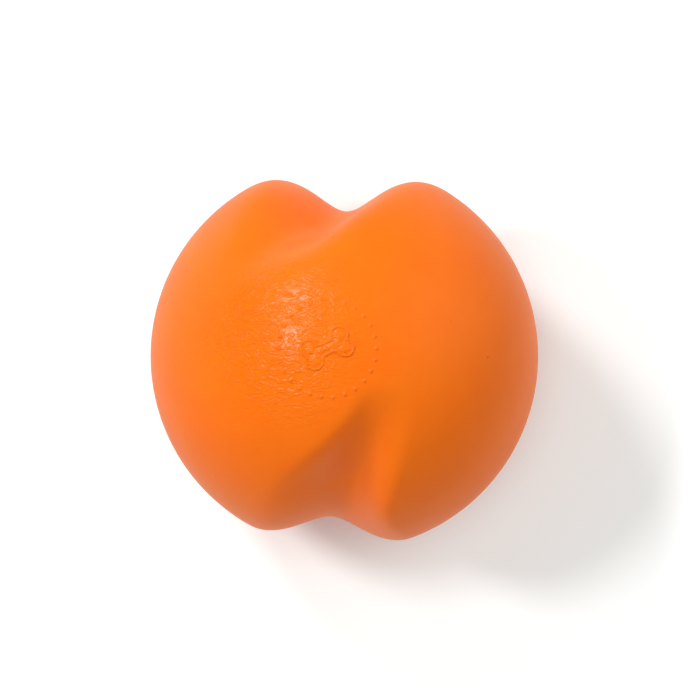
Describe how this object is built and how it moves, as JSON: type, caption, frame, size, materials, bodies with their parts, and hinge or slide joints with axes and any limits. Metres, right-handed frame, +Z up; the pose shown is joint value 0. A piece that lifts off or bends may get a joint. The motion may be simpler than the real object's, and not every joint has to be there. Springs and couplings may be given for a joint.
{
  "type": "dog chew ball",
  "caption": "Soft moulded dog chew ball: a round orange elastomer cover with leaning grooves sunk into its sides, closed over an inner core ball.",
  "frame": {"origin": "middle of the small flat that the ball stands on, straight under the ball's middle", "axes": "+Z up from the rest through the ball's middle to the side that faces the camera in the picture, +X to the picture's right, +Y to the picture's top"},
  "size_m": [0.0826, 0.0765, 0.0821],
  "materials": {
    "cover_rubber": "satin orange elastomer with a fine moulded grain",
    "core_foam": "matt light foamed elastomer"
  },
  "bodies": {
    "root": {"cover_upper_half": "cover_rubber", "cover_lower_half": "cover_rubber", "core_ball": "core_foam"}
  },
  "joints": []
}
